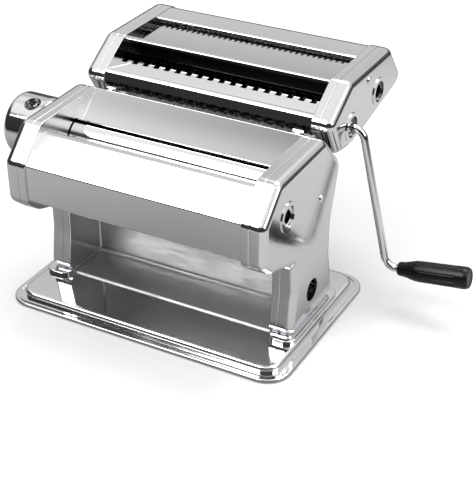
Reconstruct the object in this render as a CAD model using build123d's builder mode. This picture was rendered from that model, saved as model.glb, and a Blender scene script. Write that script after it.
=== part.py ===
"""Hand-cranked pasta roller machine with a two-width cutter unit on its rear rails.

Frame: millimetres, +Z up, origin at the centre of the base on the table top,
+X towards the crank side, -Y towards the side where the pasta comes out.
"""

import os
from math import acos, atan2, cos, degrees, pi, radians, sin, tan

from build123d import *

os.makedirs("parts", exist_ok=True)

# ---------------------------------------------------------------- driving dimensions
# Base pan
BASE_LENGTH = 200.0
BASE_WIDTH = 132.4
BASE_CORNER = 16.0
BASE_LIFT = 1.0
FLANGE_TOP = 2.8
FLANGE_WIDTH = 6.3
PLATEAU_TOP = 7.1
PLINTH_TOP = 9.8
PAN_WALL = 1.2
PLINTH_INNER, PLINTH_OUTER = 73.4, 92.0
PLINTH_FRONT, PLINTH_REAR = -33.5, 36.5

# Cheeks: an inner pan plate and an outer cover, meeting at a seam
INNER_FACE = 73.9
WEB = 1.5
SEAM = 79.4
MAIN_FACE = 89.5
CUTTER_FACE = 88.5
COVER_WALL = 1.2
EDGE_ROUND = 5.2
SEAM_ROUND = 0.6

# Bent sheets between the cheeks
SHEET = 1.0
CUTTER_SHEET = 0.9
CHUTE_HALF = 73.3

# Smooth rollers
ROLLER_RADIUS = 14.2
ROLLER_HALF = 73.1
DRIVE_Y, ROLLER_Z = -37.0, 100.0
ROLLER_PITCH = 29.9
REAR_Y = DRIVE_Y + ROLLER_PITCH
GAP_TRAVEL = 1.2
JOURNAL = 6.0
BUSH_CLEARANCE = 0.05

# Crank socket, the same on the drive roller and on both driven cutters
SOCKET_RADIUS = 4.1
SOCKET_DEPTH = 12.5
SLEEVE = 6.5
KEY_WIDTH, KEY_REACH = 2.4, 5.3

# Cutter rollers
CUTTER_RADIUS = 8.5
CUTTER_HALF = 72.0
CUTTER_PITCH = 16.0
CUTTER_JOURNAL = 4.0
WIDE_DRIVE = (52.2, 118.6)
WIDE_ANGLE = 158.0
FINE_DRIVE = (93.3, 126.2)
FINE_ANGLE = 187.0
WIDE_STEP, WIDE_RIDGE, WIDE_ROOT = 8.0, 3.7, 6.5
FINE_STEP, FINE_RIDGE, FINE_ROOT = 4.0, 1.7, 6.9

# Dial on the left cheek, on the rear roller's axis
KNOB_RADIUS = 21.0
KNOB_INNER_END, KNOB_OUTER_END = 91.2, 121.0
KNOB_SHOULDER = (97.2, 19.2)
CAM_RADIUS = 7.0
SPINDLE_HOLE = 7.5
CAM_THROW = 1.262
WINDOW_X, WINDOW_RADIUS, WINDOW_TILT = 104.0, 5.5, 21.0

RING_OUTER, RING_INNER, RING_END = 17.8, 15.2, 110.5
SHELL_INNER = 18.15
HUB_OUTER, HUB_BORE, HUB_END = 11.0, 8.7, 99.0
SPINDLE_RADIUS, SPINDLE_FLATS, SPINDLE_END = 5.0, 8.0, 116.8
SPRING_RADIUS, SPRING_WIRE = 6.9, 0.6

# Crank
ROD_RADIUS = 2.45
PLUG_RADIUS, PLUG_START, PLUG_END = 4.0, 76.5, 87.6
PIN_RADIUS = 2.2
SOCKET_MOUTH = 88.0
ARM_TOP_X = 95.9
ARM_FOOT = (117.5, 25.6)
GRIP_START, GRIP_LENGTH, GRIP_RADIUS = 8.3, 47.7, 7.2
GRIP_TILT = 8.0

# Head outline, seen from the crank side, as (y, z, corner radius)
HEAD_OUTLINE = [
    (-66.5, 79.5, 6.0),
    (-66.5, 105.4, 6.0),
    (-46.5, 125.4, 7.0),
    (14.0, 126.8, 9.0),
    (37.5, 102.5, 10.0),
    (25.8, 66.0, 45.0),
    (25.8, 44.0, 40.0),
    (33.0, PLINTH_TOP, 5.8),
    (-30.0, PLINTH_TOP, 5.8),
    (-25.5, 38.0, 40.0),
    (-25.5, 60.0, 5.0),
    (-55.5, 70.3, 6.0),
]

# Cutter unit outline, seen from the crank side
CUTTER_OUTLINE = [
    (20.5, 130.5, 6.0),
    (49.5, 149.0, 7.0),
    (112.5, 149.5, 9.0),
    (135.0, 122.0, 6.0),
    (122.0, 117.0, 12.0),
    (73.0, 107.4, 20.0),
    (50.0, 104.8, 12.0),
    (34.8, 106.8, 6.0),
]

# Tie rods as (y, z)
MAIN_TIES = [(-56.0, 90.0), (21.0, 106.0), (16.0, 76.0), (17.0, 32.0)]
CUTTER_TIES = [(66.0, 137.0), (113.0, 136.0), (65.5, 113.5)]
TIE_RADIUS, TIE_STUD, NUT_FLATS = 4.0, 2.5, 8.0
RIGHT_RIVET, LEFT_RIVET, CUTTER_RIVET = (7.8, 90.1), (14.0, 62.0), (76.2, 140.3)
RIVET_RADIUS = 2.6
CLAMP_HOLE, CLAMP_RADIUS = (-1.0, 30.0), 7.5

SCREW_HOLE, SCREW_SHANK, SCREW_HEAD = 2.3, 2.0, 4.0
SCREW_X, SCREW_Y = 83.0, 12.0
BUSH_FLANGE = 2.0
STUD_END = 79.0
NUT_THICKNESS = 3.4
RIVET_SHANK, RIVET_RISE = 1.6, 1.0
CRANK_HOLE, RING_BORE, RING_LIP, RING_RISE = 8.0, 6.9, 1.4, 0.7
COMB_THICKNESS = 1.0

# Rear rails, on the slope between the head's top rear edge and its widest point
RAIL_TOP, RAIL_FOOT = (14.0, 126.8), (37.5, 102.5)
RAIL_X = 67.0
RAIL_START, RAIL_END, STOP_END = 6.0, 28.1, 30.6
SHOE_START, SHOE_LENGTH = 16.0, 12.0


# ---------------------------------------------------------------- helpers
def polar(centre, radius, angle):
    """Point at an angle about a centre, in the side plane (y, z)."""
    return (centre[0] + radius * cos(radians(angle)), centre[1] + radius * sin(radians(angle)))


WIDE_IDLE = polar(WIDE_DRIVE, CUTTER_PITCH, WIDE_ANGLE)
FINE_IDLE = polar(FINE_DRIVE, CUTTER_PITCH, FINE_ANGLE)
SLOPE = atan2(RAIL_FOOT[1] - RAIL_TOP[1], RAIL_FOOT[0] - RAIL_TOP[0])


def side_plane(x):
    """Sketch plane at a distance x: sketch axes are the object's Y and Z, normal +X."""
    return Plane.YZ.offset(x)


def finish(part, name):
    """Label a finished piece and write it to its own file."""
    part.part.label = name
    export_step(part.part, f"parts/{name}.step")


def rounded(outline):
    """Closed line through an outline's corners, each rounded by its own radius."""
    corners = [(y, z) for y, z, _ in outline]
    return FilletPolyline(*corners, radius=[r for _, _, r in outline], close=True)


def gear(teeth, module, tip_radius, root_radius, backlash, bore, plane_x, centre, turn, width):
    """Spur gear with involute-like flanks, each drawn as one arc."""
    pitch_radius = module * teeth / 2
    base_radius = pitch_radius * cos(radians(20))

    def flank_angle(radius):
        ratio = min(1.0, base_radius / max(radius, base_radius))
        pressure = acos(ratio)
        return tan(pressure) - pressure

    half_pitch_tooth = pi / (2 * teeth) - backlash / (2 * pitch_radius)
    at_pitch = flank_angle(pitch_radius)

    def tooth_half(radius):
        return half_pitch_tooth + at_pitch - flank_angle(radius)

    start = max(root_radius + 0.2, base_radius)
    middle = (start + tip_radius) / 2
    with BuildPart() as wheel:
        with BuildSketch(side_plane(plane_x)):
            with Locations(centre):
                Circle(root_radius)
            for index in range(teeth):
                axis = turn + 360 * index / teeth

                def at(radius, side):
                    return polar(centre, radius, axis + side * degrees(tooth_half(radius)))

                foot_left = polar(centre, root_radius - 0.4, axis - degrees(tooth_half(start)))
                foot_right = polar(centre, root_radius - 0.4, axis + degrees(tooth_half(start)))
                with BuildLine():
                    Line(foot_left, at(start, -1))
                    ThreePointArc(at(start, -1), at(middle, -1), at(tip_radius, -1))
                    ThreePointArc(at(tip_radius, -1), polar(centre, tip_radius, axis), at(tip_radius, 1))
                    ThreePointArc(at(tip_radius, 1), at(middle, 1), at(start, 1))
                    Line(at(start, 1), foot_right)
                    Line(foot_right, foot_left)
                make_face()
            with Locations(centre):
                Circle(bore, mode=Mode.SUBTRACT)
        extrude(amount=width)
    return wheel


def on_axis(x, centre):
    """Sketch plane across a shaft that runs along X through the centre (y, z)."""
    return Plane(origin=(x, centre[0], centre[1]), x_dir=(0, 1, 0), z_dir=(1, 0, 0))


def slope_point(along, out):
    """Point on the head's rear slope: distance down the slope and distance out from it."""
    return (
        RAIL_TOP[0] + along * cos(SLOPE) - out * sin(SLOPE),
        RAIL_TOP[1] + along * sin(SLOPE) + out * cos(SLOPE),
    )


def slope_plane(x, along):
    """Sketch plane across the slope: sketch x is -X, sketch y points out of the slope."""
    return Plane(
        origin=(x, *slope_point(along, 0)),
        x_dir=(-1, 0, 0),
        z_dir=(0, cos(SLOPE), sin(SLOPE)),
    )


def turned(centre, steps, socket_mouth=None):
    """Shaft along X turned in steps of (from x, to x, radius), with an optional crank socket."""
    with BuildPart() as shaft:
        with BuildSketch(Plane(origin=(0, *centre), x_dir=(1, 0, 0), z_dir=(0, -1, 0))):
            for start, end, radius in steps:
                with Locations(((start + end) / 2, radius / 2)):
                    Rectangle(end - start, radius)
        revolve(axis=Axis((0, *centre), (1, 0, 0)))
        if socket_mouth is not None:
            with BuildSketch(on_axis(socket_mouth, centre)):
                Circle(SOCKET_RADIUS)
                with Locations((0, KEY_REACH / 2)):
                    Rectangle(KEY_WIDTH, KEY_REACH)
            extrude(amount=-SOCKET_DEPTH, mode=Mode.SUBTRACT)
    return shaft


def ridges(half_length, step, width, radius, shift):
    """Evenly spaced cutting discs along a cutter, as turned steps."""
    count = int(2 * half_length / step)
    first = -step * (count - 1) / 2 + shift
    middles = [first + step * index for index in range(count)]
    return [
        (max(middle - width / 2, -half_length), min(middle + width / 2, half_length), radius)
        for middle in middles
    ]


def pan_plate(side, outline, holes, slots):
    """Inner cheek plate: a flat web with a flange round its edge that points outwards."""
    with BuildPart() as plate:
        with BuildSketch(side_plane(side * INNER_FACE)):
            with BuildLine():
                rounded(outline)
            make_face()
        extrude(amount=side * (SEAM - INNER_FACE))
        fillet(plate.faces().filter_by(Axis.X).edges(), radius=SEAM_ROUND)
        with BuildSketch(side_plane(side * (INNER_FACE + WEB))):
            with BuildLine():
                rounded(outline)
            make_face()
            offset(amount=-WEB, mode=Mode.REPLACE)
        extrude(amount=side * (SEAM - INNER_FACE), mode=Mode.SUBTRACT)
        with BuildSketch(side_plane(side * INNER_FACE)):
            for centre, radius in holes:
                with Locations(centre):
                    Circle(radius)
            for centre, width, height in slots:
                with Locations(centre):
                    SlotOverall(width, height)
        extrude(amount=side * WEB, mode=Mode.SUBTRACT)
    return plate


def side_cover(side, outline, face, holes, floor_holes=()):
    """Deep outer cover of a cheek, with a rounded outer edge and holes through its face."""
    with BuildPart() as cover:
        with BuildSketch(side_plane(side * SEAM)):
            with BuildLine():
                rounded(outline)
            make_face()
        extrude(amount=side * (face - SEAM))
        outer_face = cover.faces().sort_by(Axis.X)[-1 if side > 0 else 0]
        fillet(outer_face.edges(), radius=EDGE_ROUND)
        seam_face = cover.faces().sort_by(Axis.X)[0 if side > 0 else -1]
        offset(amount=-COVER_WALL, openings=seam_face)
        seam_rim = cover.faces().filter_by(Axis.X).sort_by(Axis.X)[0 if side > 0 else -1]
        fillet(seam_rim.outer_wire().edges(), radius=SEAM_ROUND)
        with BuildSketch(side_plane(side * (face + 1))):
            for centre, radius in holes:
                with Locations(centre):
                    Circle(radius)
        extrude(amount=-side * (COVER_WALL + 2), mode=Mode.SUBTRACT)
        if floor_holes:
            with BuildSketch(Plane.XY.offset(PLINTH_TOP)):
                with Locations(*floor_holes):
                    Circle(SCREW_HOLE)
            extrude(amount=COVER_WALL + 0.4, mode=Mode.SUBTRACT)
    return cover


def bushes(placements):
    """Flanged bushes in the webs: (side, centre, bore, barrel radius, flange radius)."""
    with BuildPart() as group:
        for side, centre, bore, barrel, flange in placements:
            with BuildSketch(on_axis(side * INNER_FACE, centre)):
                Circle(barrel)
                Circle(bore, mode=Mode.SUBTRACT)
            extrude(amount=side * WEB)
            with BuildSketch(on_axis(side * (INNER_FACE + WEB), centre)):
                Circle(flange)
                Circle(bore, mode=Mode.SUBTRACT)
            extrude(amount=side * BUSH_FLANGE)
    return group


def tie_rods(places):
    """Spacer rods between the webs, with a thinner stud through each web."""
    with BuildPart() as group:
        with BuildSketch(side_plane(-INNER_FACE)):
            with Locations(*places):
                Circle(TIE_RADIUS)
        extrude(amount=2 * INNER_FACE)
        with BuildSketch(side_plane(-STUD_END)):
            with Locations(*places):
                Circle(TIE_STUD)
        extrude(amount=2 * STUD_END)
    return group


def tie_nuts(places):
    """Hexagonal nuts on the studs, against the outer side of each web."""
    with BuildPart() as group:
        for side in (-1, 1):
            with BuildSketch(side_plane(side * (INNER_FACE + WEB))):
                with Locations(*places):
                    RegularPolygon(NUT_FLATS / 2, 6, major_radius=False)
                    Circle(TIE_STUD, mode=Mode.SUBTRACT)
            extrude(amount=side * NUT_THICKNESS)
    return group


def rivets(placements):
    """Domed rivets through a cover's face: (side, centre, face)."""
    with BuildPart() as group:
        for side, centre, face in placements:
            with BuildSketch(on_axis(side * (face - COVER_WALL), centre)):
                Circle(RIVET_SHANK)
            extrude(amount=side * COVER_WALL)
            with BuildSketch(on_axis(side * face, centre)):
                Circle(RIVET_RADIUS)
            extrude(amount=side * RIVET_RISE)
        rims = group.edges().filter_by(GeomType.CIRCLE).filter_by(
            lambda edge: abs(edge.radius - RIVET_RADIUS) < 0.01
            and min(abs(abs(edge.center().X) - face - RIVET_RISE) for _, _, face in placements) < 0.01
        )
        fillet(rims, radius=RIVET_RISE * 0.8)
    return group


def hole_rings(placements):
    """Bright ferrules in the crank holes of a cover: (centre, face)."""
    with BuildPart() as group:
        for centre, face in placements:
            with BuildSketch(on_axis(face - COVER_WALL, centre)):
                Circle(CRANK_HOLE)
                Circle(RING_BORE, mode=Mode.SUBTRACT)
            extrude(amount=COVER_WALL)
            with BuildSketch(on_axis(face, centre)):
                Circle(CRANK_HOLE + RING_LIP)
                Circle(RING_BORE, mode=Mode.SUBTRACT)
            extrude(amount=RING_RISE)
    return group


def comb(centre, angle, root, step, gap, shift):
    """Scraper comb: a strip in a radial plane below a cutter, with a finger in each groove."""
    tip, back, end = root + 0.5, CUTTER_RADIUS + 0.6, CUTTER_RADIUS + 4.6
    direction = (cos(radians(angle)), sin(radians(angle)))
    plane = Plane(
        origin=(0, *centre),
        x_dir=(1, 0, 0),
        z_dir=(0, direction[1], -direction[0]),
    )
    reach = 1 if plane.y_dir.Y * direction[0] + plane.y_dir.Z * direction[1] > 0 else -1
    count = int(2 * CUTTER_HALF / step) - 1
    with BuildPart() as strip:
        with BuildSketch(plane.offset(-COMB_THICKNESS / 2)):
            with Locations((0, reach * (back + end) / 2)):
                Rectangle(2 * INNER_FACE, end - back)
            for index in range(count):
                middle = step * (index - (count - 1) / 2) + shift
                with Locations((middle, reach * (tip + back + 0.5) / 2)):
                    Rectangle(gap, back + 0.5 - tip)
        extrude(amount=COMB_THICKNESS)
    return strip


# ---------------------------------------------------------------- base
with BuildPart() as base_plate:
    with BuildSketch(Plane.XY.offset(BASE_LIFT)):
        RectangleRounded(BASE_LENGTH, BASE_WIDTH, BASE_CORNER)
    extrude(amount=FLANGE_TOP - BASE_LIFT)
    fillet(base_plate.edges().group_by(Axis.Z)[-1], radius=1.0)
    with BuildSketch(Plane.XY.offset(BASE_LIFT)):
        RectangleRounded(BASE_LENGTH - 2 * FLANGE_WIDTH, BASE_WIDTH - 2 * FLANGE_WIDTH, BASE_CORNER - 5)
    extrude(amount=PLATEAU_TOP - BASE_LIFT)
    fillet(base_plate.edges().group_by(Axis.Z)[-1], radius=2.4)
    with BuildSketch(Plane.XY.offset(PLATEAU_TOP - 0.5)):
        for side in (-1, 1):
            with Locations((side * (PLINTH_INNER + PLINTH_OUTER) / 2, (PLINTH_FRONT + PLINTH_REAR) / 2)):
                RectangleRounded(PLINTH_OUTER - PLINTH_INNER, PLINTH_REAR - PLINTH_FRONT, 7.0)
    extrude(amount=PLINTH_TOP - PLATEAU_TOP + 0.5)
    fillet(base_plate.edges().group_by(Axis.Z)[-1], radius=0.9)
    # raised bead round the flange
    with BuildSketch(Plane.XY.offset(FLANGE_TOP)):
        RectangleRounded(BASE_LENGTH - 4.4, BASE_WIDTH - 4.4, BASE_CORNER - 2.2)
        RectangleRounded(BASE_LENGTH - 7.4, BASE_WIDTH - 7.4, BASE_CORNER - 3.7, mode=Mode.SUBTRACT)
    extrude(amount=0.6)
    # hollow underside
    with BuildSketch(Plane.XY.offset(BASE_LIFT)):
        RectangleRounded(BASE_LENGTH - 2 * FLANGE_WIDTH - 2 * PAN_WALL,
                         BASE_WIDTH - 2 * FLANGE_WIDTH - 2 * PAN_WALL, BASE_CORNER - 6.2)
    extrude(amount=PLATEAU_TOP - PAN_WALL - BASE_LIFT, mode=Mode.SUBTRACT)
    with BuildSketch(Plane.XY.offset(PLATEAU_TOP - PAN_WALL - 0.2)):
        for side in (-1, 1):
            with Locations((side * (PLINTH_INNER + PLINTH_OUTER) / 2, (PLINTH_FRONT + PLINTH_REAR) / 2)):
                RectangleRounded(PLINTH_OUTER - PLINTH_INNER - 2.4, PLINTH_REAR - PLINTH_FRONT - 2.4, 5.8)
    extrude(amount=PLINTH_TOP - PLATEAU_TOP + 0.2, mode=Mode.SUBTRACT)
    # holes for the screws that hold the cheeks
    with BuildSketch(Plane.XY.offset(PLATEAU_TOP)):
        with GridLocations(2 * SCREW_X, 2 * SCREW_Y, 2, 2):
            Circle(SCREW_HOLE)
    extrude(amount=PLINTH_TOP - PLATEAU_TOP + 1, mode=Mode.SUBTRACT)
finish(base_plate, "base_plate")

with BuildPart() as rubber_feet:
    with BuildSketch():
        with GridLocations(156.0, 94.0, 2, 2):
            Circle(8.0)
    extrude(amount=PLATEAU_TOP - PAN_WALL)
    fillet(rubber_feet.edges().group_by(Axis.Z)[0], radius=0.8)
finish(rubber_feet, "rubber_feet")

with BuildPart() as base_screws:
    with BuildSketch(Plane.XY.offset(PLINTH_TOP - PAN_WALL - 2.4)):
        with GridLocations(2 * SCREW_X, 2 * SCREW_Y, 2, 2):
            Circle(SCREW_HEAD)
    extrude(amount=2.4)
    fillet(base_screws.edges().group_by(Axis.Z)[0], radius=1.2)
    with BuildSketch(Plane.XY.offset(PLINTH_TOP - PAN_WALL)):
        with GridLocations(2 * SCREW_X, 2 * SCREW_Y, 2, 2):
            Circle(SCREW_SHANK)
    extrude(amount=9.5)
finish(base_screws, "base_screws")

with BuildPart() as foot_blocks:
    for side in (-1, 1):
        with BuildSketch(Plane.XY.offset(PLINTH_TOP + WEB)):
            with Locations((side * 80.4, 0)):
                Rectangle(9.6, 36.0)
            with Locations((side * SCREW_X, SCREW_Y), (side * SCREW_X, -SCREW_Y)):
                Circle(SCREW_SHANK, mode=Mode.SUBTRACT)
        extrude(amount=8.0)
finish(foot_blocks, "foot_blocks")


# ---------------------------------------------------------------- head cheeks
drive_axis = (DRIVE_Y, ROLLER_Z)
rear_axis = (REAR_Y, ROLLER_Z)
carrier_slot = (rear_axis, 2 * (JOURNAL + GAP_TRAVEL + 0.4), 2 * (JOURNAL + 0.3))
tie_holes = [(place, TIE_STUD) for place in MAIN_TIES]
floor_screws = {side: [(side * SCREW_X, SCREW_Y), (side * SCREW_X, -SCREW_Y)] for side in (-1, 1)}

inner_plate_left = pan_plate(-1, HEAD_OUTLINE, [(drive_axis, 8.5), *tie_holes], [carrier_slot])
finish(inner_plate_left, "inner_plate_left")
inner_plate_right = pan_plate(
    1, HEAD_OUTLINE, [(drive_axis, 8.5), (CLAMP_HOLE, CLAMP_RADIUS), *tie_holes], [carrier_slot]
)
finish(inner_plate_right, "inner_plate_right")

side_cover_left = side_cover(
    -1, HEAD_OUTLINE, MAIN_FACE, [(rear_axis, SPINDLE_HOLE), (LEFT_RIVET, RIVET_SHANK)], floor_screws[-1]
)
finish(side_cover_left, "side_cover_left")
side_cover_right = side_cover(
    1,
    HEAD_OUTLINE,
    MAIN_FACE,
    [(drive_axis, CRANK_HOLE), (CLAMP_HOLE, CLAMP_RADIUS), (RIGHT_RIVET, RIVET_SHANK)],
    floor_screws[1],
)
finish(side_cover_right, "side_cover_right")

finish(rivets([(1, RIGHT_RIVET, MAIN_FACE), (-1, LEFT_RIVET, MAIN_FACE)]), "cover_rivets")
finish(hole_rings([(drive_axis, MAIN_FACE)]), "crank_hole_ring")
finish(tie_rods(MAIN_TIES), "tie_rods")
finish(tie_nuts(MAIN_TIES), "tie_rod_nuts")


# ---------------------------------------------------------------- head sheets
with BuildPart() as front_cover:
    with BuildSketch(side_plane(-INNER_FACE)):
        with BuildLine():
            FilletPolyline(
                (-60.0, 80.4), (-64.8, 81.3), (-64.8, 104.9), (-48.9, 120.6), (-45.3, 120.9), (-43.7, 116.2),
                radius=[1.2, 1.0, 1.0, 1.2],
            )
        trace(line_width=SHEET)
    extrude(amount=2 * INNER_FACE)
finish(front_cover, "front_cover")

with BuildPart() as rear_cover:
    with BuildSketch(side_plane(-INNER_FACE)):
        with BuildLine():
            FilletPolyline(
                slope_point(5.0, -SHEET / 2), slope_point(32.8, -SHEET / 2), (26.6, 70.0), (25.2, 58.0),
                radius=[8.0, 30.0],
            )
        trace(line_width=SHEET)
    extrude(amount=2 * INNER_FACE)
finish(rear_cover, "rear_cover")

with BuildPart() as hopper_plate:
    with BuildSketch(side_plane(-INNER_FACE)):
        with BuildLine():
            FilletPolyline((-13.0, 115.7), (0.8, 120.0), (13.8, 126.0), (15.2, 121.6), radius=[150.0, 1.2])
        trace(line_width=SHEET)
    extrude(amount=2 * INNER_FACE)
finish(hopper_plate, "hopper_plate")

with BuildPart() as chute_panel:
    with BuildSketch(side_plane(-CHUTE_HALF)):
        with BuildLine():
            FilletPolyline(
                (8.0, 66.0), (8.0, PLATEAU_TOP + SHEET / 2), (-24.0, PLATEAU_TOP + SHEET / 2), radius=[4.0]
            )
        trace(line_width=SHEET)
    extrude(amount=2 * CHUTE_HALF)
finish(chute_panel, "chute_panel")


# ---------------------------------------------------------------- smooth rollers and their gap adjuster
drive_roller = turned(
    drive_axis,
    [(-80.5, -ROLLER_HALF, JOURNAL), (-ROLLER_HALF, ROLLER_HALF, ROLLER_RADIUS), (ROLLER_HALF, 88.9, SLEEVE)],
    socket_mouth=88.9,
)
finish(drive_roller, "drive_roller")

rear_roller = turned(
    rear_axis,
    [(-80.3, -ROLLER_HALF, JOURNAL), (-ROLLER_HALF, ROLLER_HALF, ROLLER_RADIUS), (ROLLER_HALF, 87.4, JOURNAL)],
)
finish(rear_roller, "rear_roller")

main_gear = {"teeth": 12, "module": 2.4, "tip_radius": 17.0, "root_radius": 10.9, "backlash": 0.9, "width": 6.0}
drive_gear = gear(bore=SLEEVE, plane_x=81.2, centre=drive_axis, turn=0.0, **main_gear)
finish(drive_gear, "drive_roller_gear")
rear_gear = gear(bore=JOURNAL, plane_x=81.2, centre=rear_axis, turn=15.0, **main_gear)
finish(rear_gear, "rear_roller_gear")

finish(
    bushes([
        (-1, drive_axis, JOURNAL + BUSH_CLEARANCE, 8.5, 10.5),
        (1, drive_axis, SLEEVE + BUSH_CLEARANCE, 8.5, 10.5),
    ]),
    "drive_roller_bushes",
)

CARRIER_WIDTH, CARRIER_HEIGHT, CARRIER_THICK = 24.0, 22.0, 4.8
CARRIER_X = 75.8
CAM_FRAME_DEPTH = 5.4


def carrier(side):
    """Block that slides along Y behind a web and holds one end of the rear roller."""
    with BuildPart() as block:
        with BuildSketch(on_axis(side * CARRIER_X, rear_axis)):
            RectangleRounded(CARRIER_WIDTH, CARRIER_HEIGHT, 2.0)
            Circle(JOURNAL + BUSH_CLEARANCE, mode=Mode.SUBTRACT)
        extrude(amount=side * CARRIER_THICK)
    return block


finish(carrier(1), "carrier_right")

with BuildPart() as carrier_left:
    add(carrier(-1).part)
    with BuildSketch(on_axis(-(CARRIER_X + CARRIER_THICK), rear_axis)):
        RectangleRounded(CARRIER_WIDTH, 2 * 13.0, 3.0)
        Rectangle(2 * (CAM_RADIUS + 0.3), 20.4, mode=Mode.SUBTRACT)
    extrude(amount=-CAM_FRAME_DEPTH)
finish(carrier_left, "carrier_left")

GUIDE_GAP, GUIDE_HEIGHT = 0.1, 4.0
with BuildPart() as carrier_guides:
    for side in (-1, 1):
        with BuildSketch(on_axis(side * (INNER_FACE + WEB), rear_axis)):
            for above in (-1, 1):
                with Locations((0, above * (CARRIER_HEIGHT / 2 + GUIDE_GAP + GUIDE_HEIGHT / 2))):
                    RectangleRounded(34.0, GUIDE_HEIGHT, 1.0)
        extrude(amount=side * 4.4)
finish(carrier_guides, "carrier_guides")

with BuildPart() as roller_scrapers:
    with BuildSketch(side_plane(-INNER_FACE)):
        with BuildLine():
            FilletPolyline((DRIVE_Y, 85.3), (DRIVE_Y - 1.5, 80.5), (DRIVE_Y - 7.0, 79.0), radius=[2.0])
        trace(line_width=0.8)
        with BuildLine():
            FilletPolyline((REAR_Y, 85.3), (REAR_Y + 1.5, 80.5), (REAR_Y + 7.0, 79.0), radius=[2.0])
        trace(line_width=0.8)
    extrude(amount=2 * INNER_FACE)
finish(roller_scrapers, "roller_scrapers")


# ---------------------------------------------------------------- thickness dial on the left cheek
cam_centre = (REAR_Y, ROLLER_Z + CAM_THROW)
CAM_START, CAM_END = 81.4, 85.4

with BuildPart() as cam_spindle:
    with BuildSketch(on_axis(-CAM_START, cam_centre)):
        Circle(CAM_RADIUS)
    extrude(amount=-(CAM_END - CAM_START))
    with BuildSketch(on_axis(-CAM_END, rear_axis)):
        Circle(SPINDLE_RADIUS)
    extrude(amount=-(SPINDLE_END - CAM_END))
    with BuildSketch(on_axis(-SPINDLE_END, rear_axis)):
        Circle(SPINDLE_RADIUS + 1)
        Rectangle(4 * SPINDLE_RADIUS, SPINDLE_FLATS, mode=Mode.SUBTRACT)
        Circle(2.0)
    extrude(amount=SPINDLE_END - 97.0, mode=Mode.SUBTRACT)
finish(cam_spindle, "cam_spindle")

with BuildPart() as spindle_bush:
    with BuildSketch(on_axis(-(MAIN_FACE - COVER_WALL - 1.7), rear_axis)):
        Circle(10.0)
        Circle(SPINDLE_RADIUS + BUSH_CLEARANCE, mode=Mode.SUBTRACT)
    extrude(amount=-1.7)
    with BuildSketch(on_axis(-(MAIN_FACE - COVER_WALL), rear_axis)):
        Circle(SPINDLE_HOLE)
        Circle(SPINDLE_RADIUS + BUSH_CLEARANCE, mode=Mode.SUBTRACT)
    extrude(amount=-(COVER_WALL + 3.0))
finish(spindle_bush, "spindle_bush")

with BuildPart() as number_ring:
    with BuildSketch(on_axis(-MAIN_FACE, rear_axis)):
        Circle(RING_OUTER)
        Circle(RING_INNER, mode=Mode.SUBTRACT)
    extrude(amount=-(RING_END - MAIN_FACE))
finish(number_ring, "number_ring")

with BuildPart() as dial_knob:
    shoulder_end, shoulder_radius = KNOB_SHOULDER
    plate_start = KNOB_OUTER_END - 2.6
    with BuildSketch(Plane(origin=(0, *rear_axis), x_dir=(-1, 0, 0), z_dir=(0, 1, 0))):
        with BuildLine():
            Polyline((shoulder_end, KNOB_RADIUS), (KNOB_OUTER_END - 5, KNOB_RADIUS))
            RadiusArc((KNOB_OUTER_END - 5, KNOB_RADIUS), (KNOB_OUTER_END, KNOB_RADIUS - 5), 5)
            Polyline(
                (KNOB_OUTER_END, KNOB_RADIUS - 5),
                (KNOB_OUTER_END, HUB_BORE),
                (HUB_END, HUB_BORE),
                (HUB_END, HUB_OUTER),
                (plate_start, HUB_OUTER),
                (plate_start, SHELL_INNER - 1.6),
                (plate_start - 1.6, SHELL_INNER),
                (KNOB_INNER_END, SHELL_INNER),
                (KNOB_INNER_END, shoulder_radius),
            )
            ThreePointArc(
                (KNOB_INNER_END, shoulder_radius),
                (93.2, 20.3),
                (shoulder_end, KNOB_RADIUS),
            )
        make_face()
    revolve(axis=Axis((0, *rear_axis), (1, 0, 0)))
    with BuildSketch(on_axis(-HUB_END, rear_axis)):
        Circle(HUB_BORE + 0.5)
        with BuildSketch(mode=Mode.PRIVATE) as keyed_bore:
            Circle(SPINDLE_RADIUS + BUSH_CLEARANCE)
            Rectangle(4 * SPINDLE_RADIUS, SPINDLE_FLATS + 2 * BUSH_CLEARANCE, mode=Mode.INTERSECT)
        add(keyed_bore.sketch, mode=Mode.SUBTRACT)
    extrude(amount=-4.0)
    with BuildSketch(
        Plane(
            origin=(-WINDOW_X, REAR_Y, ROLLER_Z),
            x_dir=(1, 0, 0),
            z_dir=(0, -sin(radians(WINDOW_TILT)), cos(radians(WINDOW_TILT))),
        ).offset(HUB_OUTER + 2)
    ):
        Circle(WINDOW_RADIUS)
    extrude(amount=12.0, mode=Mode.SUBTRACT)
finish(dial_knob, "dial_knob")

with BuildPart() as dial_cap:
    with BuildSketch(on_axis(-(SPINDLE_END + 2.4), rear_axis)):
        Circle(HUB_BORE)
    extrude(amount=-1.5)
    fillet(dial_cap.edges().sort_by(Axis.X)[0], radius=0.6)
finish(dial_cap, "dial_cap")

with BuildPart() as dial_screw:
    with BuildSketch(on_axis(-SPINDLE_END, rear_axis)):
        Circle(8.3)
    extrude(amount=-0.8)
    with BuildSketch(on_axis(-(SPINDLE_END + 0.8), rear_axis)):
        Circle(3.8)
    extrude(amount=-1.2)
    with BuildSketch(on_axis(-SPINDLE_END, rear_axis)):
        Circle(2.0)
    extrude(amount=8.0)
finish(dial_screw, "dial_screw")

SPRING_START, SPRING_END = 103.8, 116.0
with BuildPart() as dial_spring:
    with BuildLine():
        coil = Helix(
            pitch=3.05,
            height=SPRING_END - SPRING_START,
            radius=SPRING_RADIUS,
            center=(-SPRING_START, *rear_axis),
            direction=(-1, 0, 0),
        )
    with BuildSketch(Plane(origin=coil @ 0, z_dir=coil % 0)):
        Circle(SPRING_WIRE)
    sweep(is_frenet=True)
finish(dial_spring, "dial_spring")


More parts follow.
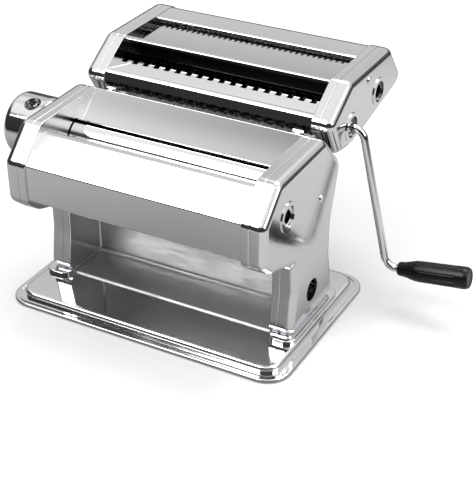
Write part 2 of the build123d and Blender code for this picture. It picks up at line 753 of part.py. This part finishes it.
# ---------------------------------------------------------------- rear rails for the cutter unit
with BuildPart() as cutter_rails:
    rail_sections = [(0.5, 8.0, 1.0), (1.7, 3.0, 1.6), (3.1, 7.0, 1.4)]
    with BuildSketch(slope_plane(0, RAIL_START)):
        for side in (-1, 1):
            for middle, width, height in rail_sections:
                with Locations((side * RAIL_X, middle)):
                    Rectangle(width, height)
    extrude(amount=RAIL_END - RAIL_START)
    with BuildSketch(slope_plane(0, RAIL_END)):
        for side in (-1, 1):
            with Locations((side * RAIL_X, 2.5)):
                Rectangle(10.0, 5.0)
    extrude(amount=STOP_END - RAIL_END)
finish(cutter_rails, "cutter_rails")

with BuildPart() as cutter_shoes:
    with BuildSketch(slope_plane(0, SHOE_START)):
        for side in (-1, 1):
            with Locations((side * (INNER_FACE + 61.5) / 2, 3.45)):
                Rectangle(INNER_FACE - 61.5, 4.3)
            with Locations((side * RAIL_X, 1.7)):
                Rectangle(3.6, 1.0, mode=Mode.SUBTRACT)
            with Locations((side * RAIL_X, 3.1)):
                Rectangle(7.6, 2.0, mode=Mode.SUBTRACT)
    extrude(amount=SHOE_LENGTH)
finish(cutter_shoes, "cutter_shoes")


# ---------------------------------------------------------------- cutter unit housing
cutter_ties = [(place, TIE_STUD) for place in CUTTER_TIES]
BARREL, DRIVE_BARREL = 5.5, 8.0
idle_holes = [(WIDE_IDLE, BARREL), (FINE_IDLE, BARREL)]

cutter_inner_left = pan_plate(
    -1, CUTTER_OUTLINE, [(WIDE_DRIVE, BARREL), (FINE_DRIVE, BARREL), *idle_holes, *cutter_ties], []
)
finish(cutter_inner_left, "cutter_inner_left")
cutter_inner_right = pan_plate(
    1, CUTTER_OUTLINE, [(WIDE_DRIVE, DRIVE_BARREL), (FINE_DRIVE, DRIVE_BARREL), *idle_holes, *cutter_ties], []
)
finish(cutter_inner_right, "cutter_inner_right")

cutter_cover_left = side_cover(-1, CUTTER_OUTLINE, CUTTER_FACE, [(CUTTER_RIVET, RIVET_SHANK)])
finish(cutter_cover_left, "cutter_cover_left")
cutter_cover_right = side_cover(
    1,
    CUTTER_OUTLINE,
    CUTTER_FACE,
    [(WIDE_DRIVE, CRANK_HOLE), (FINE_DRIVE, CRANK_HOLE), (CUTTER_RIVET, RIVET_SHANK)],
)
finish(cutter_cover_right, "cutter_cover_right")

small_bore, drive_bore = CUTTER_JOURNAL + BUSH_CLEARANCE, SLEEVE + BUSH_CLEARANCE
finish(
    bushes(
        [(-1, centre, small_bore, BARREL, 6.8) for centre in (WIDE_DRIVE, FINE_DRIVE, WIDE_IDLE, FINE_IDLE)]
        + [(1, centre, small_bore, BARREL, 6.8) for centre in (WIDE_IDLE, FINE_IDLE)]
        + [(1, centre, drive_bore, DRIVE_BARREL, 8.8) for centre in (WIDE_DRIVE, FINE_DRIVE)]
    ),
    "cutter_bushes",
)
finish(tie_rods(CUTTER_TIES), "cutter_tie_rods")
finish(tie_nuts(CUTTER_TIES), "cutter_tie_nuts")
finish(hole_rings([(WIDE_DRIVE, CUTTER_FACE), (FINE_DRIVE, CUTTER_FACE)]), "cutter_hole_rings")
finish(rivets([(side, CUTTER_RIVET, CUTTER_FACE) for side in (-1, 1)]), "cutter_rivets")

with BuildPart() as cutter_front_panel:
    with BuildSketch(side_plane(-INNER_FACE)):
        with BuildLine():
            FilletPolyline((24.5, 127.0), (26.6, 133.6), (41.0, 136.0), radius=[4.0])
        trace(line_width=CUTTER_SHEET)
    extrude(amount=2 * INNER_FACE)
    # comb of notches along the wide slot
    with BuildSketch(Plane.XY.offset(130.0)):
        with Locations((0, 40.4)):
            with GridLocations(WIDE_STEP, 1, 18, 1):
                Rectangle(4.0, 5.2)
    extrude(amount=10.0, mode=Mode.SUBTRACT)
finish(cutter_front_panel, "cutter_front_panel")

with BuildPart() as cutter_centre_plate:
    with BuildSketch(side_plane(-INNER_FACE)):
        with BuildLine():
            FilletPolyline((47.8, 130.2), (50.2, 147.3), (77.6, 148.0), radius=[1.6])
        trace(line_width=CUTTER_SHEET)
    extrude(amount=2 * INNER_FACE)
    # comb of notches along the fine slot, and the left end cut back
    with BuildSketch(Plane.XY.offset(140.0)):
        with Locations((0, 77.6)):
            with GridLocations(FINE_STEP, 1, 36, 1):
                Rectangle(2.0, 5.0)
        with Locations((-68.0, 66.5)):
            Rectangle(12.0, 27.0)
    extrude(amount=10.0, mode=Mode.SUBTRACT)
finish(cutter_centre_plate, "cutter_centre_plate")

with BuildPart() as cutter_rear_cover:
    with BuildSketch(side_plane(-INNER_FACE)):
        with BuildLine():
            FilletPolyline(
                (89.9, 142.5), (89.9, 148.0), (111.5, 148.4), (134.0, 122.0), (124.5, 118.6),
                radius=[1.2, 8.0, 4.0],
            )
        trace(line_width=CUTTER_SHEET)
    extrude(amount=2 * INNER_FACE)
finish(cutter_rear_cover, "cutter_rear_cover")

with BuildPart() as wide_combs:
    add(comb(WIDE_DRIVE, -100, WIDE_ROOT, WIDE_STEP, 3.0, 0).part)
    add(comb(WIDE_IDLE, -75, WIDE_ROOT, WIDE_STEP, 3.0, WIDE_STEP / 2).part)
finish(wide_combs, "wide_combs")

with BuildPart() as fine_combs:
    add(comb(FINE_DRIVE, -100, FINE_ROOT, FINE_STEP, 1.4, 0).part)
    add(comb(FINE_IDLE, -80, FINE_ROOT, FINE_STEP, 1.4, FINE_STEP / 2).part)
finish(fine_combs, "fine_combs")


# ---------------------------------------------------------------- cutter rollers and their gears
def cutter(centre, driven, step, ridge, root):
    """Grooved cutter; the driven one carries a crank socket, the other is shifted half a pitch."""
    steps = [(-86.5, -CUTTER_HALF, CUTTER_JOURNAL), (-CUTTER_HALF, CUTTER_HALF, root)]
    steps += ridges(CUTTER_HALF, step, ridge, CUTTER_RADIUS, 0 if driven else step / 2)
    if driven:
        return turned(centre, [*steps, (CUTTER_HALF, SOCKET_MOUTH, SLEEVE)], socket_mouth=SOCKET_MOUTH)
    return turned(centre, [*steps, (CUTTER_HALF, 79.0, CUTTER_JOURNAL)])


finish(cutter(WIDE_DRIVE, True, WIDE_STEP, WIDE_RIDGE, WIDE_ROOT), "wide_drive_cutter")
finish(cutter(WIDE_IDLE, False, WIDE_STEP, WIDE_RIDGE, WIDE_ROOT), "wide_front_cutter")
finish(cutter(FINE_DRIVE, True, FINE_STEP, FINE_RIDGE, FINE_ROOT), "fine_drive_cutter")
finish(cutter(FINE_IDLE, False, FINE_STEP, FINE_RIDGE, FINE_ROOT), "fine_front_cutter")

cutter_gear = {
    "teeth": 12,
    "module": CUTTER_PITCH / 12,
    "tip_radius": 9.15,
    "root_radius": 6.5,
    "backlash": 0.45,
    "bore": CUTTER_JOURNAL,
    "plane_x": -86.0,
    "width": 5.5,
}
finish(gear(centre=WIDE_DRIVE, turn=WIDE_ANGLE, **cutter_gear), "wide_drive_gear")
finish(gear(centre=WIDE_IDLE, turn=WIDE_ANGLE + 180 + 15, **cutter_gear), "wide_front_gear")
finish(gear(centre=FINE_DRIVE, turn=FINE_ANGLE, **cutter_gear), "fine_drive_gear")
finish(gear(centre=FINE_IDLE, turn=FINE_ANGLE + 180 + 15, **cutter_gear), "fine_front_gear")


# ---------------------------------------------------------------- crank
PIN_END = GRIP_START + GRIP_LENGTH - 3.9
grip_direction = (cos(radians(GRIP_TILT)), 0, sin(radians(GRIP_TILT)))


def grip_plane(distance):
    """Plane across the grip, at a distance from the corner where the arm meets the grip axis."""
    return Plane(
        origin=(
            ARM_FOOT[0] + distance * grip_direction[0],
            WIDE_DRIVE[0],
            ARM_FOOT[1] + distance * grip_direction[2],
        ),
        x_dir=(0, 1, 0),
        z_dir=grip_direction,
    )


with BuildPart() as crank_rod:
    # turned plug that fits the keyed sockets, with the thinner bent arm growing out of it
    with BuildSketch(on_axis(PLUG_START, WIDE_DRIVE)):
        Circle(PLUG_RADIUS)
    extrude(amount=PLUG_END - PLUG_START)
    chamfer(crank_rod.edges().filter_by(GeomType.CIRCLE), length=0.6)
    rod_start = (PLUG_END - 1, WIDE_DRIVE[1])
    rod_end = grip_plane(GRIP_START - 0.2).origin
    with BuildLine(Plane(origin=(0, WIDE_DRIVE[0], 0), x_dir=(1, 0, 0), z_dir=(0, -1, 0))):
        FilletPolyline(
            rod_start, (ARM_TOP_X, WIDE_DRIVE[1]), ARM_FOOT, (rod_end.X, rod_end.Z), radius=[8.5, 8.0]
        )
    with BuildSketch(on_axis(rod_start[0], WIDE_DRIVE)):
        Circle(ROD_RADIUS)
    sweep()
    with BuildSketch(on_axis(77.5, WIDE_DRIVE)):
        with Locations((0, 2.5)):
            Rectangle(2.0, 5.0)
    extrude(amount=8.0)
    with BuildSketch(grip_plane(GRIP_START - 0.2)):
        Circle(PIN_RADIUS)
    extrude(amount=PIN_END - GRIP_START + 0.2)
    with BuildSketch(grip_plane(PIN_END)):
        Circle(1.5)
    extrude(amount=-10.0, mode=Mode.SUBTRACT)
finish(crank_rod, "crank_rod")

with BuildPart() as grip_screw:
    with BuildSketch(grip_plane(PIN_END)):
        Circle(4.4)
    extrude(amount=1.8)
    with BuildSketch(grip_plane(PIN_END)):
        Circle(1.5)
    extrude(amount=-10.0)
finish(grip_screw, "grip_screw")

with BuildPart() as crank_grip:
    with BuildSketch(
        Plane(origin=grip_plane(GRIP_START).origin, x_dir=grip_direction, z_dir=(0, -1, 0))
    ):
        with BuildLine():
            Line((0, 0), (0, 3.4))
            Spline((0, 3.4), (3.2, 4.7), (8.0, 5.6), (12.8, 6.7), tangents=((0.3, 1), (1, 0.15)))
            Polyline((12.8, 6.7), (13.2, 6.2), (14.0, 6.2), (14.4, 6.8), (GRIP_LENGTH - 3.5, GRIP_RADIUS))
            Spline(
                (GRIP_LENGTH - 3.5, GRIP_RADIUS),
                (GRIP_LENGTH - 1.0, 6.7),
                (GRIP_LENGTH, 5.9),
                tangents=((1, 0), (0.4, -1)),
            )
            Polyline((GRIP_LENGTH, 5.9), (GRIP_LENGTH, 0), (0, 0))
        make_face()
    revolve(axis=Axis(tuple(grip_plane(GRIP_START).origin), grip_direction))
    # shallow flutes along the palm part
    with BuildSketch(grip_plane(GRIP_START + 15.5)):
        with PolarLocations(GRIP_RADIUS + 0.4, 12):
            Circle(1.0)
    extrude(amount=24.0, mode=Mode.SUBTRACT)
    with BuildSketch(grip_plane(GRIP_START)):
        Circle(PIN_RADIUS + BUSH_CLEARANCE)
    extrude(amount=GRIP_LENGTH, mode=Mode.SUBTRACT)
    with BuildSketch(grip_plane(GRIP_START + GRIP_LENGTH)):
        Circle(5.2)
    extrude(amount=-4.0, mode=Mode.SUBTRACT)
finish(crank_grip, "crank_grip")

with BuildPart() as grip_plug:
    with BuildSketch(grip_plane(GRIP_START + GRIP_LENGTH - 1.6)):
        Circle(5.2)
    extrude(amount=1.3)
finish(grip_plug, "grip_plug")
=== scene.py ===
import math

import bpy
from mathutils import Matrix, Vector


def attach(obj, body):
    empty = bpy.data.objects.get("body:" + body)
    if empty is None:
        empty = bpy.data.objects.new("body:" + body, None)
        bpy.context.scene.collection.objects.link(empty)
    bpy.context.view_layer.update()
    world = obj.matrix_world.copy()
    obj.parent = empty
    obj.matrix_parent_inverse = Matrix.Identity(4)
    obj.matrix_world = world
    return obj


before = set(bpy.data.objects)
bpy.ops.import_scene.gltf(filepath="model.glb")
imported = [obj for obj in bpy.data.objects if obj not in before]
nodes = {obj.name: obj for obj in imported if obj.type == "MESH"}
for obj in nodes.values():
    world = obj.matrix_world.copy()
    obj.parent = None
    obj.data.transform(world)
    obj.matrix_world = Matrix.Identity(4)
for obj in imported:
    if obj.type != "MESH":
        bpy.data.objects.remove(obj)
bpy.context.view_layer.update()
scene = bpy.context.scene

# ------------------------------------------------------------------ camera
AZIMUTH, ELEVATION = math.radians(28.3), math.radians(30.9)
CAMERA_PLACE = (0.35694, -0.5943, 0.45434)
LENS, SENSOR, NEAR_CLIP = 93.75, 36, 0.01

camera = bpy.data.objects.new("camera", bpy.data.cameras.new("camera"))
scene.collection.objects.link(camera)
back = Vector((
    math.sin(AZIMUTH) * math.cos(ELEVATION),
    -math.cos(AZIMUTH) * math.cos(ELEVATION),
    math.sin(ELEVATION),
))
camera.location = CAMERA_PLACE
camera.rotation_euler = (-back).to_track_quat("-Z", "Y").to_euler()
camera.data.lens = LENS
camera.data.sensor_width = SENSOR
camera.data.clip_start = NEAR_CLIP
scene.camera = camera
scene.view_settings.view_transform = "Standard"


# ------------------------------------------------------------------ node helpers
def new_material(name):
    material = bpy.data.materials.new(name)
    material.use_nodes = True
    tree = material.node_tree
    tree.nodes.clear()
    output = tree.nodes.new("ShaderNodeOutputMaterial")
    shader = tree.nodes.new("ShaderNodeBsdfPrincipled")
    tree.links.new(shader.outputs["BSDF"], output.inputs["Surface"])
    return material, tree, shader


def noise(tree, scale, detail, stretch=(1, 1, 1)):
    """Noise over the object's own coordinates, stretched along its axes."""
    place = tree.nodes.new("ShaderNodeTexCoord")
    mapping = tree.nodes.new("ShaderNodeMapping")
    mapping.inputs["Scale"].default_value = stretch
    texture = tree.nodes.new("ShaderNodeTexNoise")
    texture.inputs["Scale"].default_value = scale
    texture.inputs["Detail"].default_value = detail
    tree.links.new(place.outputs["Object"], mapping.inputs["Vector"])
    tree.links.new(mapping.outputs["Vector"], texture.inputs["Vector"])
    return texture.outputs["Fac"]


def ramp(tree, factor, stops):
    """Colour ramp from (position, value or colour) stops."""
    node = tree.nodes.new("ShaderNodeValToRGB")
    elements = node.color_ramp.elements
    while len(elements) > 1:
        elements.remove(elements[0])
    for index, (position, value) in enumerate(stops):
        element = elements[0] if index == 0 else elements.new(position)
        element.position = position
        colour = value if isinstance(value, tuple) else (value, value, value)
        element.color = (*colour, 1)
    tree.links.new(factor, node.inputs["Fac"])
    return node.outputs["Color"]


def bump(tree, shader, height, strength, distance):
    """Fine relief from a height, given in metres."""
    node = tree.nodes.new("ShaderNodeBump")
    node.inputs["Strength"].default_value = strength
    node.inputs["Distance"].default_value = distance
    tree.links.new(height, node.inputs["Height"])
    tree.links.new(node.outputs["Normal"], shader.inputs["Normal"])


def blend(tree, factor, first, second):
    """Mix of two shader nodes by a factor."""
    node = tree.nodes.new("ShaderNodeMixShader")
    tree.links.new(factor, node.inputs["Fac"])
    tree.links.new(first.outputs[0], node.inputs[1])
    tree.links.new(second.outputs[0], node.inputs[2])
    return node


def scaled(colour, factor):
    return tuple(channel * factor for channel in colour)


def metal(name, colour, rough, brush=(1, 1, 1), brush_scale=60.0, bump_depth=0.0):
    """Polished or satin metal: faint tone changes, hairline polish marks and soft handling smudges."""
    material, tree, shader = new_material(name)
    shader.inputs["Metallic"].default_value = 1.0
    lines = noise(tree, brush_scale, 4.0, brush)
    smudges = noise(tree, 22.0, 3.0)
    tone = ramp(tree, smudges, [(0.3, scaled(colour, 0.97)), (0.7, colour)])
    tree.links.new(tone, shader.inputs["Base Color"])
    mix = tree.nodes.new("ShaderNodeMath")
    mix.operation = "MULTIPLY"
    tree.links.new(ramp(tree, lines, [(0.25, rough * 0.7), (0.75, rough * 1.3)]), mix.inputs[0])
    tree.links.new(ramp(tree, smudges, [(0.35, 0.85), (0.75, 1.25)]), mix.inputs[1])
    tree.links.new(mix.outputs[0], shader.inputs["Roughness"])
    if bump_depth:
        bump(tree, shader, lines, 0.35, bump_depth)
    return material


def shaded_metal(name, colour, rough, shade_top, unshaded_bottom):
    """Polished sheet whose edges, turned down into the cutter slots, are darkened with painted shade."""
    material = metal(name, colour, rough, (1, 3, 3), 30.0)
    tree = material.node_tree
    shader = tree.nodes["Principled BSDF"]
    unshaded_tone = shader.inputs["Base Color"].links[0].from_socket
    place = tree.nodes.new("ShaderNodeTexCoord")
    split = tree.nodes.new("ShaderNodeSeparateXYZ")
    tree.links.new(place.outputs["Object"], split.inputs["Vector"])
    # painted shade: the colour drops to 4 % below the lower height and is full above the upper one
    painted_shade = tree.nodes.new("ShaderNodeVectorMath")
    painted_shade.operation = "MULTIPLY"
    tree.links.new(unshaded_tone, painted_shade.inputs[0])
    tree.links.new(ramp(tree, split.outputs["Z"], [(shade_top, 0.04), (unshaded_bottom, 1.0)]), painted_shade.inputs[1])
    tree.links.new(painted_shade.outputs["Vector"], shader.inputs["Base Color"])
    return material


def plastic(name, colour, rough, grain, depth, coat=0.0, specular=0.5):
    """Moulded plastic or rubber: slight tone change and a fine grain."""
    material, tree, shader = new_material(name)
    fine = noise(tree, grain, 5.0)
    broad = noise(tree, 35.0, 3.0)
    tone = ramp(tree, broad, [(0.3, scaled(colour, 0.85)), (0.7, scaled(colour, 1.15))])
    tree.links.new(tone, shader.inputs["Base Color"])
    tree.links.new(ramp(tree, fine, [(0.3, rough * 0.85), (0.7, rough * 1.2)]), shader.inputs["Roughness"])
    shader.inputs["Coat Weight"].default_value = coat
    shader.inputs["Specular IOR Level"].default_value = specular
    bump(tree, shader, fine, 0.4, depth)
    return material


# ------------------------------------------------------------------ materials
CHROME = (0.86, 0.865, 0.875)
sheet_chrome = metal("sheet_chrome", CHROME, 0.045, (1, 3, 3), 30.0)
# painted shade on the cutter centre plate's edges that turn down into the slots
slot_chrome = shaded_metal("slot_chrome", CHROME, 0.045, 0.1458, 0.1468)
cheek_chrome = metal("cheek_chrome", CHROME, 0.13, (2, 1, 1), 30.0)
cast_chrome = metal("cast_chrome", CHROME, 0.07)
roller_chrome = metal("roller_chrome", (0.84, 0.845, 0.85), 0.08, (1, 20, 20), 40.0)
plate_steel = metal("plate_steel", (0.74, 0.745, 0.75), 0.10, (12, 1, 2), 30.0)
cutter_steel = metal("cutter_steel", (0.14, 0.14, 0.15), 0.25, (30, 1, 1), 60.0)
satin_steel = metal("satin_steel", (0.82, 0.82, 0.83), 0.42, (1, 6, 6), 60.0)
machined_steel = metal("machined_steel", (0.58, 0.58, 0.59), 0.30, (4, 18, 18), 90.0, 0.00002)
brass = metal("brass", (0.78, 0.60, 0.30), 0.28, (2, 12, 12), 90.0, 0.00002)
black_gloss = plastic("black_gloss", (0.012, 0.012, 0.013), 0.22, 600.0, 0.00001, 0.4)
grip_black = plastic("grip_black", (0.004, 0.004, 0.0045), 0.26, 900.0, 0.00002, specular=0.32)
pale_plastic = plastic("pale_plastic", (0.72, 0.72, 0.70), 0.45, 900.0, 0.00002)
foot_rubber = plastic("foot_rubber", (0.02, 0.02, 0.02), 0.75, 1200.0, 0.00006)
number_paint = plastic("number_paint", (0.85, 0.85, 0.84), 0.45, 900.0, 0.00001)

FINISHES = (
    (cast_chrome, (
        "base_plate", "cover_rivets", "crank_hole_ring", "dial_knob", "cutter_hole_rings",
        "cutter_rivets", "crank_rod",
    )),
    (foot_rubber, (
        "rubber_feet",
    )),
    (machined_steel, (
        "base_screws", "foot_blocks", "tie_rod_nuts", "carrier_guides", "drive_roller_gear",
        "carrier_left", "carrier_right", "rear_roller_gear", "cam_spindle", "dial_screw", "dial_spring",
        "cutter_tie_nuts", "wide_drive_gear", "wide_front_gear", "fine_drive_gear", "fine_front_gear",
        "grip_screw",
    )),
    (cheek_chrome, (
        "inner_plate_left", "inner_plate_right", "side_cover_left", "side_cover_right",
        "cutter_inner_left", "cutter_inner_right", "cutter_cover_left", "cutter_cover_right",
    )),
    (plate_steel, (
        "tie_rods", "cutter_rails", "cutter_tie_rods",
    )),
    (sheet_chrome, (
        "front_cover", "rear_cover", "hopper_plate", "cutter_front_panel", "cutter_rear_cover",
    )),
    (satin_steel, (
        "chute_panel",
    )),
    (brass, (
        "drive_roller_bushes", "spindle_bush", "cutter_bushes",
    )),
    (pale_plastic, (
        "roller_scrapers", "cutter_shoes", "wide_combs", "fine_combs",
    )),
    (black_gloss, (
        "number_ring", "dial_cap",
    )),
    (roller_chrome, (
        "drive_roller", "rear_roller",
    )),
    (slot_chrome, (
        "cutter_centre_plate",
    )),
    (cutter_steel, (
        "wide_drive_cutter", "wide_front_cutter", "fine_drive_cutter", "fine_front_cutter",
    )),
    (grip_black, (
        "crank_grip", "grip_plug",
    )),
)
finish_of = {name: material for material, names in FINISHES for name in names}


CORNER_ANGLE = math.radians(28)
WELD_DISTANCE = 0.000001


def edge_group():
    """Geometry nodes that join touching faces and keep an edge sharp only where it is a real corner."""
    group = bpy.data.node_groups.new("real_corners", "GeometryNodeTree")
    group.interface.new_socket("Geometry", in_out="INPUT", socket_type="NodeSocketGeometry")
    group.interface.new_socket("Geometry", in_out="OUTPUT", socket_type="NodeSocketGeometry")
    start = group.nodes.new("NodeGroupInput")
    end = group.nodes.new("NodeGroupOutput")
    merge = group.nodes.new("GeometryNodeMergeByDistance")
    merge.inputs["Distance"].default_value = WELD_DISTANCE
    smooth = group.nodes.new("GeometryNodeSetShadeSmooth")
    smooth.domain = "FACE"
    sharp = group.nodes.new("GeometryNodeSetShadeSmooth")
    sharp.domain = "EDGE"
    sharp.inputs["Shade Smooth"].default_value = False
    angle = group.nodes.new("GeometryNodeInputMeshEdgeAngle")
    compare = group.nodes.new("FunctionNodeCompare")
    compare.data_type = "FLOAT"
    compare.operation = "GREATER_THAN"
    compare.inputs[1].default_value = CORNER_ANGLE
    group.links.new(start.outputs[0], merge.inputs["Geometry"])
    group.links.new(merge.outputs["Geometry"], smooth.inputs["Geometry"])
    group.links.new(smooth.outputs["Geometry"], sharp.inputs["Geometry"])
    group.links.new(angle.outputs["Unsigned Angle"], compare.inputs[0])
    group.links.new(compare.outputs["Result"], sharp.inputs["Selection"])
    group.links.new(sharp.outputs["Geometry"], end.inputs[0])
    return group


real_corners = edge_group()
for name, node in nodes.items():
    node.data.materials.clear()
    node.data.materials.append(finish_of[name])
    if "custom_normal" in node.data.attributes:
        node.data.attributes.remove(node.data.attributes["custom_normal"])
    node.modifiers.new("corners", "NODES").node_group = real_corners
    node.modifiers.new("normals", "WEIGHTED_NORMAL").keep_sharp = True


# ------------------------------------------------------------------ numbers on the dial ring
RING_SURFACE = 0.0178
DIGIT_HEIGHT, DIGIT_THICKNESS = 0.0054, 0.00028
DIGIT_X = -0.104
DIGIT_RISE = 0.1 * DIGIT_THICKNESS
SHOWN_NUMBER, SHOWN_TILT, DIGIT_STEP = 5, math.radians(14), math.radians(24)
DIAL_CENTRE = Vector((0, -0.0071, 0.1))


def ring_digit(number, angle):
    """One numeral standing a hair proud of the ring, where the knob's window can show it."""
    letters = bpy.data.curves.new("numeral", "FONT")
    letters.body = str(number)
    letters.size = DIGIT_HEIGHT
    letters.align_x = "CENTER"
    letters.align_y = "CENTER"
    letters.extrude = DIGIT_THICKNESS / 2
    source = bpy.data.objects.new("numeral", letters)
    mesh = bpy.data.meshes.new_from_object(source)
    bpy.data.objects.remove(source)
    piece = bpy.data.objects.new(f"dial_number_{number}", mesh)
    scene.collection.objects.link(piece)
    out = Vector((0, -math.sin(angle), math.cos(angle)))
    right = Vector((1, 0, 0))
    turn = Matrix((right, out.cross(right), out)).transposed()
    place = DIAL_CENTRE + out * (RING_SURFACE + DIGIT_RISE) + right * DIGIT_X
    mesh.transform(Matrix.Translation(place) @ turn.to_4x4())
    mesh.materials.clear()
    mesh.materials.append(number_paint)
    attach(piece, "frame")


for number in range(2, 9):
    ring_digit(number, SHOWN_TILT + (number - SHOWN_NUMBER) * DIGIT_STEP)


# ------------------------------------------------------------------ studio
FLOOR = 4.0
floor_mesh = bpy.data.meshes.new("floor")
floor_corners = [(-FLOOR, -FLOOR, 0), (FLOOR, -FLOOR, 0), (FLOOR, FLOOR, 0), (-FLOOR, FLOOR, 0)]
floor_mesh.from_pydata(floor_corners, [], [(0, 1, 2, 3)])
floor = bpy.data.objects.new("floor", floor_mesh)
scene.collection.objects.link(floor)
floor_material, tree, shader = new_material("floor_paper")
shader.inputs["Roughness"].default_value = 0.9
grain = noise(tree, 3.0, 3.0)
tree.links.new(ramp(tree, grain, [(0.3, 0.90), (0.7, 0.93)]), shader.inputs["Base Color"])
# painted reflection: in the metal's reflections the paper is swapped for an emission that fades out to a
# dark studio, and is lighter on the crank side
path = tree.nodes.new("ShaderNodeLightPath")
place = tree.nodes.new("ShaderNodeTexCoord")
split = tree.nodes.new("ShaderNodeSeparateXYZ")
reach = tree.nodes.new("ShaderNodeVectorMath")
reach.operation = "LENGTH"
tree.links.new(place.outputs["Object"], split.inputs["Vector"])
tree.links.new(place.outputs["Object"], reach.inputs[0])


def glow(stops):
    """Painted light of the paper, seen only by glossy rays, against the distance from the machine."""
    node = tree.nodes.new("ShaderNodeEmission")
    tree.links.new(ramp(tree, reach.outputs["Value"], stops), node.inputs["Color"])
    return node


dial_side = glow([(0.10, 0.24), (0.19, 0.31), (0.27, 0.45), (0.42, 0.50), (0.60, 0.25), (0.95, 0.02)])
crank_side = glow([(0.10, 0.55), (0.20, 0.64), (0.40, 0.72), (0.60, 0.40), (0.95, 0.02)])
seen = blend(tree, ramp(tree, split.outputs["X"], [(0.095, 0.0), (0.120, 1.0)]), dial_side, crank_side)
paper = blend(tree, path.outputs["Is Glossy Ray"], shader, seen)
tree.links.new(paper.outputs["Shader"], tree.nodes["Material Output"].inputs["Surface"])
floor_mesh.materials.append(floor_material)

world = bpy.data.worlds.new("studio")
scene.world = world
world.use_nodes = True
tree = world.node_tree
tree.nodes.clear()
output = tree.nodes.new("ShaderNodeOutputWorld")
plain = tree.nodes.new("ShaderNodeBackground")
plain.inputs["Color"].default_value = (1, 1, 1, 1)
path = tree.nodes.new("ShaderNodeLightPath")
direction = tree.nodes.new("ShaderNodeTexCoord")
split = tree.nodes.new("ShaderNodeSeparateXYZ")
tree.links.new(direction.outputs["Generated"], split.inputs["Vector"])


def room_side(stops):
    """Brightness of one half of the room against the height of the direction."""
    node = tree.nodes.new("ShaderNodeBackground")
    tree.links.new(ramp(tree, split.outputs["Z"], stops), node.inputs["Color"])
    return node


# dark walls under a bright ceiling in front; behind the machine a grey wall, a bright band and a grey patch
front_half = room_side([(0.0, 0.03), (0.62, 0.04), (0.70, 0.95), (0.85, 1.0), (1.0, 0.9)])
back_half = room_side([
    (0.0, 0.10), (0.25, 0.10), (0.33, 0.72), (0.42, 0.60), (0.52, 0.55), (0.62, 0.80), (0.70, 0.95),
    (0.77, 0.85), (0.91, 0.36), (1.0, 0.80),
])
halves = blend(tree, ramp(tree, split.outputs["Y"], [(0.0, 0.0), (0.2, 1.0)]), front_half, back_half)
shown = blend(tree, path.outputs["Is Camera Ray"], halves, plain)
tree.links.new(shown.outputs["Shader"], output.inputs["Surface"])


def softbox(name, place, target, size, power):
    light = bpy.data.objects.new(name, bpy.data.lights.new(name, "AREA"))
    light.data.shape = "RECTANGLE"
    light.data.size, light.data.size_y = size
    light.data.energy = power
    light.location = place
    light.rotation_euler = (Vector(target) - Vector(place)).to_track_quat("-Z", "Y").to_euler()
    scene.collection.objects.link(light)


softbox("key", (-0.5, -0.9, 1.3), (0, 0, 0.08), (0.9, 0.9), 14)
softbox("fill", (1.2, -0.1, 0.9), (0, 0, 0.08), (0.7, 0.9), 6)
softbox("top", (0.1, 0.7, 1.5), (0, 0, 0.08), (1.2, 0.8), 12)
